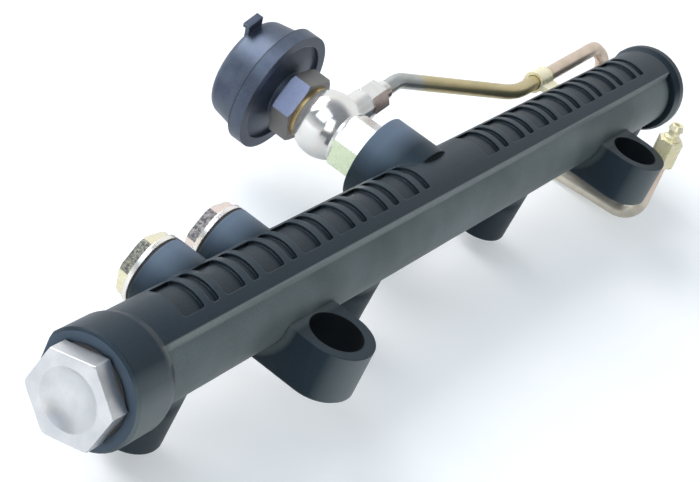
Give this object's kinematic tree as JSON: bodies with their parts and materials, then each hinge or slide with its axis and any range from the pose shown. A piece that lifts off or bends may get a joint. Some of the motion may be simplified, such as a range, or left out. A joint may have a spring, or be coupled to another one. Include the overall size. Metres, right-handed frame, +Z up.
{
  "type": "fuel rail",
  "caption": "Fuel rail: a cast tube with injector cups and mount ears, plugged side ports, a pulsation damper on a banjo eye and a bent metal feed pipe.",
  "frame": {"origin": "midway between the two mount holes, in the plane of the ears' lower seating faces", "axes": "+X along the rail from its plugged end to its closed end, +Z up along the mount holes, +Y towards the ports and the damper"},
  "size_m": [0.3238, 0.1007, 0.051],
  "materials": {
    "rail_paint": "satin",
    "plug_steel": "satin",
    "seal_black": "matte",
    "plated_steel": "satin, pale yellow plating",
    "soft_brass": "satin",
    "bright_steel": "bright",
    "damper_steel": "satin, blue-grey",
    "spring_steel": "satin",
    "pipe_plating": "satin, olive plating over steel",
    "yellow_plating": "satin, yellow plating over steel"
  },
  "bodies": {
    "root": {"rail_body": "rail_paint", "end_plug": "plug_steel", "end_plug_seal": "seal_black", "port_plug_front": "plated_steel", "port_plug_rear": "plated_steel", "port_seal_front": "seal_black", "port_seal_rear": "seal_black", "feed_adapter": "plated_steel", "adapter_seal": "seal_black", "lower_banjo_washer": "soft_brass", "upper_banjo_washer": "soft_brass", "banjo_eye": "bright_steel", "damper_base": "damper_steel", "damper_diaphragm": "spring_steel", "damper_spring_seat": "spring_steel", "damper_spring": "spring_steel", "damper_cap": "damper_steel", "pipe_nut": "bright_steel", "pipe_sleeve": "bright_steel", "feed_pipe": "pipe_plating", "pipe_clip": "yellow_plating", "clip_screw": "yellow_plating", "union_nut": "yellow_plating", "outlet_nipple": "yellow_plating"}
  },
  "joints": []
}
